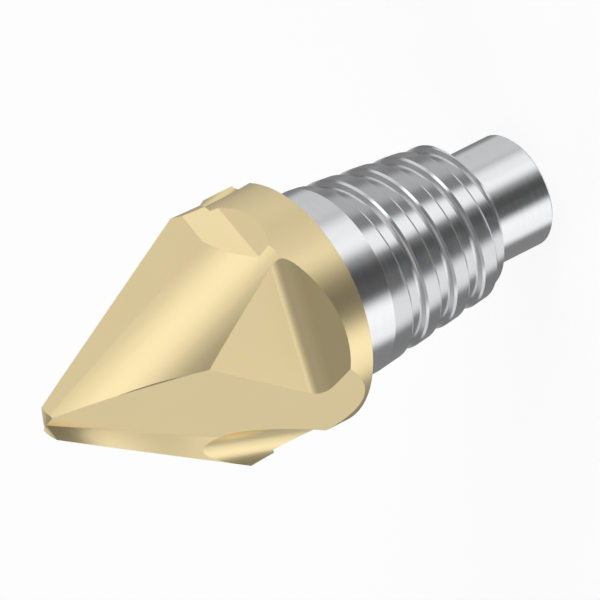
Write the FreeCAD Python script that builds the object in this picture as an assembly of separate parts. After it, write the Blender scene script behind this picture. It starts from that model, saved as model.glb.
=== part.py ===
import FreeCAD, Part
import math
import os

# Exchangeable solid carbide chamfer-milling head, ground from one blank.
# Z is the tool axis, with the tip up and the origin in the rear face of the pilot.
# Lengths are in millimetres and angles in degrees. Bearings are counted from +X towards +Y.
# The first cutting edge lies over +X, and the head turns towards +Y.

# Coupling, from the rear
pilot_diameter = 5.45
pilot_length = 3.05
pilot_chamfer = 0.1
shoulder_half_angle = 53.0
thread_rear_diameter = 7.49
thread_half_angle = 6.4
neck_diameter = 9.1
neck_length = 2.44

# Right-hand thread groove on the taper
thread_pitch = 1.85
thread_depth = 0.27
thread_floor_width = 0.62
thread_flank_angle = 30.0
thread_bevel = 0.07
thread_start_drop = 0.83
thread_start_bearing = 222.0

# Cutting head, up to the tip
flange_length = 3.05
cutting_diameter = 12.0
margin_step = 0.15
margin_length = 1.5
point_half_angle = 29.0
tip_diameter = 1.58
point_rise = 0.25
edge_lead = 0.22
tooth_count = 2

# Facets ground behind each cutting edge
clearance_angle = 25.0
heel_radius = 10.0
heel_ridge_bearing = -26.7
heel_ridge_tilt = 63.8
heel_offset_at_tip = 0.69
heel_bearing_at_tip = 170.6
heel_facing = 144.8
heel_middle_angle = 13.8
heel_half_angle = 21.0
relief_bearing = 147.7
relief_tilt = 5.2
relief_depth = 0.75
ramp_bearing = 152.4
ramp_tilt = 28.0
ramp_setback = 0.9

# Flute floor and rake land in front of each cutting edge
floor_bearing = 42.6
floor_lip = 0.25
web_thickness = 0.06
rake_at_tip = 8.4
rake_at_heel = -30.9
land_length = 7.91
land_overrun = 6.0

# Chip gash across the flute
gash_bearing = 82.7
gash_depth = 1.75
gash_lean = 0.5
gash_wall_tilt = 60.0
gash_lip = 1.27
gash_radius = 1.15
gash_dip = 3.6

# Round gullet that runs out beside the margin
gullet_radius = 1.3
gullet_bearing = 110.0
gullet_slope = 16.0
gullet_rise = 5.0

# Heights and radii that follow from the sizes above
pilot_radius = pilot_diameter / 2
thread_rear_radius = thread_rear_diameter / 2
neck_radius = neck_diameter / 2
cutting_radius = cutting_diameter / 2
flange_radius = cutting_radius - margin_step
tip_radius = tip_diameter / 2
shoulder_length = (thread_rear_radius - pilot_radius) / math.tan(math.radians(shoulder_half_angle))
taper_length = (neck_radius - thread_rear_radius) / math.tan(math.radians(thread_half_angle))
shoulder_top = pilot_length + shoulder_length
taper_top = shoulder_top + taper_length
flange_rear = taper_top + neck_length
flange_front = flange_rear + flange_length
cone_base = flange_front + margin_length
edge_top = cone_base + (cutting_radius - tip_radius) / math.tan(math.radians(point_half_angle))
tip_height = edge_top + point_rise
floor_foot = flange_rear + floor_lip
clear_length = 3 * cutting_diameter
tool_axis = FreeCAD.Vector(0, 0, 1)


def direction(bearing, tilt=0.0):
    """Unit vector at a bearing round the tool axis, tilted up towards the tip."""
    flat = math.cos(math.radians(tilt))
    east = flat * math.cos(math.radians(bearing))
    north = flat * math.sin(math.radians(bearing))
    return FreeCAD.Vector(east, north, math.sin(math.radians(tilt)))


def at(radius, bearing, height):
    """Point at a radius, bearing and height."""
    return direction(bearing) * radius + tool_axis * height


def beyond(point, normal):
    """Block that fills the space beyond a plane."""
    corner = FreeCAD.Vector(-clear_length, -clear_length, 0)
    block = Part.makeBox(2 * clear_length, 2 * clear_length, 2 * clear_length, corner)
    block.Placement = FreeCAD.Placement(point, FreeCAD.Rotation(tool_axis, normal))
    return block


def blank():
    """Turned form of the whole head before the teeth and the thread are ground."""
    profile = [
        (0, 0),
        (pilot_radius - pilot_chamfer, 0),
        (pilot_radius, pilot_chamfer),
        (pilot_radius, pilot_length),
        (thread_rear_radius, shoulder_top),
        (neck_radius, taper_top),
        (neck_radius, flange_rear),
        (flange_radius, flange_rear),
        (flange_radius, flange_front),
        (cutting_radius, flange_front),
        (cutting_radius, cone_base),
        (tip_radius, edge_top),
        (0, tip_height),
        (0, 0),
    ]
    outline = Part.makePolygon([at(radius, 0, height) for radius, height in profile])
    return Part.Face(outline).revolve(FreeCAD.Vector(), tool_axis, 360)


def thread_groove():
    """Groove that winds down the taper and runs out over the shoulder."""
    start_height = taper_top - thread_start_drop
    wound_height = start_height - pilot_length
    end_radius = thread_rear_radius - shoulder_length * math.tan(math.radians(thread_half_angle))
    end_bearing = thread_start_bearing - 360 * wound_height / thread_pitch
    along_slant = 1 / math.cos(math.radians(thread_half_angle))
    helix = Part.makeHelix(thread_pitch * along_slant, wound_height * along_slant, end_radius, thread_half_angle)
    flank = math.tan(math.radians(thread_flank_angle))
    floor = thread_floor_width / 2
    flank_top = floor + (thread_depth - thread_bevel) * flank
    clear = thread_bevel + thread_depth / 2
    half = [(floor, -thread_depth), (flank_top, -thread_bevel), (flank_top + clear / flank, clear - thread_bevel)]
    corners = half + [(-along, out) for along, out in reversed(half)]
    points = [FreeCAD.Vector(out, 0, along) for along, out in corners]
    profile = Part.makePolygon(points + points[:1])
    profile.rotate(FreeCAD.Vector(), FreeCAD.Vector(0, 1, 0), thread_half_angle)
    profile.translate(FreeCAD.Vector(end_radius, 0, 0))
    groove = Part.Wire(helix.Edges).makePipeShell([profile], True, True)
    groove.rotate(FreeCAD.Vector(), tool_axis, end_bearing)
    groove.translate(tool_axis * pilot_length)
    return groove


def heel():
    """Crowned heel behind the clearance, part of a large cylinder along the ridge between them."""
    ridge = direction(heel_ridge_bearing, heel_ridge_tilt)
    outward = direction(heel_facing)
    outward = (outward - ridge * outward.dot(ridge)).normalize()
    sideways = outward.cross(ridge)
    centre = at(heel_offset_at_tip, heel_bearing_at_tip, edge_top) - outward * heel_radius
    crown = Part.makeCylinder(heel_radius, 2 * clear_length, centre - ridge * clear_length, ridge)
    middle_cosine = math.cos(math.radians(heel_middle_angle))
    middle_sine = math.sin(math.radians(heel_middle_angle))
    middle = outward * middle_cosine + sideways * middle_sine
    chord_height = heel_radius * math.cos(math.radians(heel_half_angle))
    return beyond(centre + middle * chord_height, middle).cut(crown)


def relief_facets():
    """Clearance behind the opposite edge and the relief of its margin."""
    half_turn = FreeCAD.Rotation(tool_axis, 180)
    edge_start = half_turn * edge_point(cone_base)
    along_edge = half_turn * edge_point(edge_top) - edge_start
    trailing = direction(180).cross(along_edge).normalize()
    facing = along_edge.cross(trailing).normalize()
    clearance_cosine = math.cos(math.radians(clearance_angle))
    clearance_sine = math.sin(math.radians(clearance_angle))
    clearance = beyond(edge_start, facing * clearance_cosine + trailing * clearance_sine)
    relief_point = at(cutting_radius - relief_depth, relief_bearing, cone_base)
    relief = beyond(relief_point, direction(relief_bearing, relief_tilt))
    ramp_point = at(flange_radius, ramp_bearing, flange_front - ramp_setback)
    ramp = beyond(ramp_point, direction(ramp_bearing, ramp_tilt))
    return [clearance, relief.common(ramp)]


def floor_offset(height):
    """Distance of the flute floor from the tool axis at a height."""
    slope = (flange_radius - web_thickness / 2) / (tip_height - floor_foot)
    return web_thickness / 2 + (tip_height - height) * slope


def edge_point(height):
    """Point of the cutting edge at a height."""
    share = (height - cone_base) / (edge_top - cone_base)
    radius = cutting_radius + (tip_radius - cutting_radius) * share
    return FreeCAD.Vector(radius, edge_lead * share, height)


def land_root(height, rake):
    """Point at a height where the rake land meets the flute floor."""
    edge = edge_point(height)
    inward = direction(180 + rake)
    across = direction(floor_bearing)
    width = (floor_offset(height) - edge.dot(across)) / inward.dot(across)
    return edge + inward * width


def flute():
    """Flat flute floor that ends in the twisted rake land under the cutting edge."""
    heel_height = edge_top - land_length
    heel_root = land_root(heel_height, rake_at_heel)
    tip_root = land_root(edge_top, rake_at_tip)
    per_height = (tip_root - heel_root) / land_length
    along = direction(floor_bearing + 90) * clear_length
    outward = direction(0) * clear_length
    sections = []
    for height in (flange_rear, tip_height + point_rise):
        root = heel_root + per_height * (height - heel_height)
        outer = root + (edge_point(height) - root) * land_overrun
        corners = [root, outer, outer + outward, outer + outward + along, root + along, root]
        sections.append(Part.makePolygon(corners))
    return Part.makeLoft(sections, True, True)


def gash():
    """Upright wall and sloping end wall, with the wheel's corner radius between them."""
    outward = direction(gash_bearing)
    length = direction(gash_bearing - 90, -gash_dip)
    upward = length.cross(outward)
    wall = outward * math.sin(math.radians(gash_lean)) + upward * math.cos(math.radians(gash_lean))
    end_wall = (outward * math.sin(math.radians(gash_wall_tilt))
                - upward * math.cos(math.radians(gash_wall_tilt)))
    rim = at(flange_radius, gash_bearing, flange_rear + gash_lip)
    corner = rim - end_wall * (gash_depth / math.sin(math.radians(gash_wall_tilt)))
    half_opening = math.acos(wall.dot(end_wall)) / 2
    tangent = gash_radius / math.tan(half_opening)
    middle = (wall + end_wall).normalize()
    round_point = corner + middle * (gash_radius / math.sin(half_opening) - gash_radius)
    on_wall = corner + wall * tangent
    on_end_wall = corner + end_wall * tangent
    top = corner + wall * clear_length
    bottom = corner + end_wall * clear_length
    outline = [
        Part.Arc(on_wall, round_point, on_end_wall).toShape(),
        Part.makePolygon([on_end_wall, bottom, bottom + wall * clear_length, top, on_wall]),
    ]
    face = Part.Face(Part.Wire(outline[0].Edges + outline[1].Edges))
    face.translate(length * -clear_length)
    return face.extrude(length * (2 * clear_length))


def gullet():
    """Round gullet from the start of the cutting edge, rising out of the rake land and the flange."""
    inward = math.tan(math.radians(gullet_slope))
    forward = math.tan(math.radians(gullet_rise))
    run = FreeCAD.Vector(-inward, forward, 1).normalize()
    side = direction(gullet_bearing)
    side = (side - run * side.dot(run)).normalize()
    start = edge_point(cone_base) + side * gullet_radius - run * clear_length / 2
    return Part.makeCylinder(gullet_radius, clear_length, start, run)


def mill_head():
    """Blank with its thread, and with every cut ground once for each tooth."""
    head = blank().cut(thread_groove())
    cuts = relief_facets() + [heel(), flute(), gash(), gullet()]
    for tooth in range(tooth_count):
        for cut in cuts:
            head = head.cut(cut.rotated(FreeCAD.Vector(), tool_axis, 360 * tooth / tooth_count))
    return head.removeSplitter()


os.makedirs("parts", exist_ok=True)
head = mill_head()
head.exportStep("parts/mill_head.step")
print("flange rear %.2f, flange front %.2f, cone base %.2f, tip %.2f" % (
    flange_rear, flange_front, cone_base, tip_height))
print("volume %.1f mm3, valid %s, solids %d, faces %d" % (
    head.Volume, head.isValid(), len(head.Solids), len(head.Faces)))
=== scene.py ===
import math

import bpy
from mathutils import Matrix, Vector

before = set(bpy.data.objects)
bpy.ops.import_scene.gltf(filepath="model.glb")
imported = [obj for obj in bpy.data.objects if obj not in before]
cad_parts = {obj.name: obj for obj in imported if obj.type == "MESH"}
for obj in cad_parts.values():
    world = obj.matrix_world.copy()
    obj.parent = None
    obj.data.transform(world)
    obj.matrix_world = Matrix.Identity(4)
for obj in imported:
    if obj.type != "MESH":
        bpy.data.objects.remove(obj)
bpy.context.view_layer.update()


# The photo table is a wide pale matt floor. The head stands on it, on the flat end of its pilot.
# It takes the head's soft shadow and is seen nearly white. The metal does not mirror it.
class Wire:
    """A socket in a shader tree. Sums and products of wires add Math nodes."""

    def __init__(self, tree, socket=None):
        self.tree = tree
        self.socket = socket

    def node(self, kind, settings=None, inputs=None, output=0):
        """Adds any node: its type, its settings, then the values or links of its sockets."""
        made = self.tree.nodes.new(kind)
        for name, value in (settings or {}).items():
            setattr(made, name, value)
        for name, value in (inputs or {}).items():
            if isinstance(value, Wire):
                self.tree.links.new(value.socket, made.inputs[name])
            else:
                made.inputs[name].default_value = value
        return Wire(self.tree, made.outputs[output] if made.outputs else None)

    def math(self, operation, *values):
        return self.node("ShaderNodeMath", {"operation": operation}, dict(enumerate(values)))

    def __add__(self, other):
        return self.math("ADD", self, other)

    def __rsub__(self, other):
        return self.math("SUBTRACT", other, self)

    def __mul__(self, other):
        return self.math("MULTIPLY", self, other)

    def __abs__(self):
        return self.math("ABSOLUTE", self)

    __radd__ = __add__
    __rmul__ = __mul__

    def dot(self, vector):
        """How far this vector reaches along a fixed one."""
        settings = {"operation": "DOT_PRODUCT"}
        return self.node("ShaderNodeVectorMath", settings, {0: self, 1: vector}, "Value")

    def rise(self, start, end):
        """Goes softly from 0 at the start value to 1 at the end value, which may be the lower."""
        inputs = {"Value": self, "From Min": start, "From Max": end}
        return self.node("ShaderNodeMapRange", {"interpolation_type": "SMOOTHSTEP"}, inputs)


def empty_tree(owner):
    owner.use_nodes = True
    owner.node_tree.nodes.clear()
    return Wire(owner.node_tree)


def seen_directly(tree):
    """1 for what the camera sees itself or through clear material, and 0 for reflections."""
    camera_ray = tree.node("ShaderNodeLightPath", output="Is Camera Ray")
    return camera_ray + tree.node("ShaderNodeLightPath", output="Is Transmission Ray")


floor_reach = 0.6
floor_grey = (0.7, 0.7, 0.7, 1)
floor_glow = 0.705
white = (1, 1, 1, 1)
floor_corners = [(-floor_reach, -floor_reach, 0), (floor_reach, -floor_reach, 0),
                 (floor_reach, floor_reach, 0), (-floor_reach, floor_reach, 0)]
floor_mesh = bpy.data.meshes.new("floor")
floor_mesh.from_pydata(floor_corners, [], [(0, 1, 2, 3)])
floor = bpy.data.objects.new("floor", floor_mesh)
bpy.context.scene.collection.objects.link(floor)
floor_paint = bpy.data.materials.new("pale floor")
paint = empty_tree(floor_paint)
matt = paint.node("ShaderNodeBsdfDiffuse", None, {"Color": floor_grey})
glow = paint.node("ShaderNodeEmission", None, {"Color": white, "Strength": floor_glow})
lit = paint.node("ShaderNodeAddShader", None, {0: matt, 1: glow})
floor_look = paint.node("ShaderNodeMixShader", None, {0: seen_directly(paint), 1: matt, 2: lit})
paint.node("ShaderNodeOutputMaterial", None, {"Surface": floor_look})
floor_mesh.materials.append(floor_paint)
floor.visible_glossy = False


# The light tent is all the light there is: soft upright panels round the table, at several heights,
# with dimmer cloth between them, a dim roof above and a bright table top below. The metal mirrors
# it, below the floor's level too, and the camera sees plain white instead of it.
tent_world = bpy.data.worlds.new("light tent")
bpy.context.scene.world = tent_world
tent = empty_tree(tent_world)
toward = tent.node("ShaderNodeTexCoord", output="Generated")
level = tent.node("ShaderNodeVectorMath", {"operation": "MULTIPLY"}, {0: toward, 1: (1, 1, 0)})
level = tent.node("ShaderNodeVectorMath", {"operation": "NORMALIZE"}, {0: level})
height = toward.dot((0, 0, 1))


def panels(*strips):
    """Upright strips: bearing, half width and soft edge in degrees, and the brightness added."""
    total = 0
    for bearing, half_width, edge, added in strips:
        middle = (math.cos(math.radians(bearing)), math.sin(math.radians(bearing)), 0)
        outer = math.cos(math.radians(half_width + edge))
        inner = math.cos(math.radians(half_width))
        total = level.dot(middle).rise(outer, inner) * added + total
    return total


def blend(share, first, second):
    return first * (1 - share) + second * share


table_light = 0.7
skirt_cloth = 0.22
lower_cloth = 0.25
upper_cloth = 0.21
roof_cloth = 0.31
table_share = height.rise(-0.74, -0.86)
skirt_share = height.rise(-0.54, -0.62)
skirt_top_share = height.rise(-0.69, -0.65)
upper_share = height.rise(-0.46, -0.28)
high_share = height.rise(0.04, 0.18)
roof_share = height.rise(0.30, 0.85)
skirt_panels = panels((30, 8, 24, 0.66), (129, 6, 15, 0.85), (190, 8, 20, 0.26))
skirt_ends = blend(skirt_top_share, panels((82, 12, 18, -0.17)), panels((66, 12, 14, 0.3)))
skirt = skirt_panels + skirt_ends + skirt_cloth
lower_panels = panels((35, 15, 21, 0.87), (146, 8, 24, 0.88), (208, 22, 24, 0.42), (86, 13, 16, -0.19))
lower_wall = lower_panels + lower_cloth
upper_panels = panels((2, 16, 16, 0.53), (36, 14, 20, 0.24), (194, 10, 18, 0.56), (280, 14, 24, 0.5))
upper_ends = blend(high_share, panels((112, 6, 16, 0.7)), panels((154, 3, 17, 1.32)))
upper_wall = upper_panels + upper_ends + upper_cloth
low_glow = height.rise(-0.50, -0.42) * height.rise(-0.16, -0.28) * panels((190, 12, 18, 0.45))
side_glow = height.rise(-0.505, -0.465) * height.rise(0.15, -0.50) * panels((53, 12, 11, 0.55))
brightness = blend(upper_share, lower_wall, upper_wall) + low_glow + side_glow
brightness = blend(skirt_share, brightness, skirt)
brightness = blend(roof_share, brightness, roof_cloth)
brightness = blend(table_share, brightness, table_light)
plain = tent.node("ShaderNodeBackground", None, {"Color": white, "Strength": 1.0})
around = tent.node("ShaderNodeBackground", None, {"Color": white, "Strength": brightness})
tent_look = tent.node("ShaderNodeMixShader", None, {0: seen_directly(tent), 1: around, 2: plain})
tent.node("ShaderNodeOutputWorld", None, {"Surface": tent_look})


# The camera looks down on the head from in front of one flute, rolled so that the tip lies to
# the lower left. Its long lens shows the head with almost no perspective.
camera_data = bpy.data.cameras.new("camera")
camera_data.lens = 1000
camera_data.sensor_width = 36
camera = bpy.data.objects.new("camera", camera_data)
bpy.context.scene.collection.objects.link(camera)
image_right = Vector((0.2991, 0.5746, -0.762)).normalized()
toward_camera = Vector((-0.2423, 0.8179, 0.522)).normalized()
image_up = toward_camera.cross(image_right).normalized()
image_right = image_up.cross(toward_camera)
seen_width = 0.02694
looked_at = Vector((0.00009, 0.00003, 0.01281))
camera_distance = seen_width * camera_data.lens / camera_data.sensor_width
turn = Matrix((image_right, image_up, toward_camera)).transposed().to_4x4()
camera.matrix_world = Matrix.Translation(looked_at + toward_camera * camera_distance) @ turn
camera_data.clip_start = camera_distance / 10
camera_data.clip_end = camera_distance * 3
bpy.context.scene.camera = camera
bpy.context.scene.view_settings.view_transform = "Standard"


# The milling head is one piece of sintered carbide, pressed and then ground on every face.
# From the flange to the tip it has a pale gold hard coating, and the coupling is bare ground metal.
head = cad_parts["mill_head"]
coat_start = 0.01344
coat_fade = 0.00001
metal = bpy.data.materials.new("ground carbide with a gold coat")
grain = empty_tree(metal)
place = grain.node("ShaderNodeTexCoord", output="Object")
facing = grain.node("ShaderNodeNewGeometry", output="True Normal")
along_axis = place.dot((0, 0, 1))
coated = along_axis.rise(coat_start - coat_fade, coat_start + coat_fade)


def lines(across, along, fineness, waver):
    """Grinding lines: noise that changes quickly across them and slowly along them."""
    spot = grain.node("ShaderNodeCombineXYZ", None, {0: across * fineness, 1: along * waver})
    inputs = {"Vector": spot, "Scale": 1.0, "Detail": 3.0, "Roughness": 0.6}
    return grain.node("ShaderNodeTexNoise", {"noise_dimensions": "2D"}, inputs)


facet_fineness = 22000
facet_waver = 400
ring_fineness = 26000
ring_waver = 300


def facet(normal, across, along):
    """Where one ground face of each tooth is, and its grinding lines."""
    match = abs(facing.dot((normal[0], normal[1], 0))) + facing.dot((0, 0, normal[2]))
    face_lines = lines(place.dot(across), place.dot(along), facet_fineness, facet_waver)
    return match.rise(0.97, 0.985), face_lines


ring_lines = lines(along_axis, place.dot((0.7, 0.7, 0)), ring_fineness, ring_waver)
floor_share, floor_lines = facet((0.679, 0.624, 0.386), (-0.677, 0.736, 0), (-0.284, -0.261, 0.923))
heel_share, heel_lines = facet((-0.594, 0.689, 0.414), (0.70, 0.697, -0.154), (0.394, -0.198, 0.897))
clear_share, clear_lines = facet((-0.793, 0.412, 0.449), (0.369, 0.911, -0.184), (0.485, -0.02, 0.874))
texture = blend(floor_share, ring_lines, floor_lines)
texture = blend(heel_share, texture, heel_lines)
texture = blend(clear_share, texture, clear_lines)
cloud = grain.node("ShaderNodeTexNoise", None, {"Vector": place, "Scale": 260.0, "Detail": 2.0})


def mixed(share, first, second):
    """Blend of two colours."""
    return grain.node("ShaderNodeMix", {"data_type": "RGBA"}, {0: share, 6: first, 7: second}, 2)


deep_gold = (0.92, 0.76, 0.43, 1)
light_gold = (0.97, 0.805, 0.465, 1)
dull_carbide = (0.76, 0.765, 0.78, 1)
bright_carbide = (0.85, 0.855, 0.87, 1)
gold_roughness = 0.27
bare_roughness = 0.12
line_roughness = 0.08
line_depth = 0.000004
edge_rounding = 0.00001
gold = mixed(texture * 0.5 + cloud * 0.5, deep_gold, light_gold)
bare = mixed(texture, dull_carbide, bright_carbide)
colour = mixed(coated, bare, gold)
roughness = blend(coated, bare_roughness, gold_roughness) + texture * line_roughness
edges = grain.node("ShaderNodeBevel", {"samples": 6}, {"Radius": edge_rounding})
inputs = {"Strength": 0.12, "Distance": line_depth, "Height": texture, "Normal": edges}
relief = grain.node("ShaderNodeBump", None, inputs)
inputs = {"Base Color": colour, "Metallic": 1.0, "Roughness": roughness, "Normal": relief}
skin = grain.node("ShaderNodeBsdfPrincipled", None, inputs)
grain.node("ShaderNodeOutputMaterial", None, {"Surface": skin})
for slot in head.material_slots:
    slot.material = metal
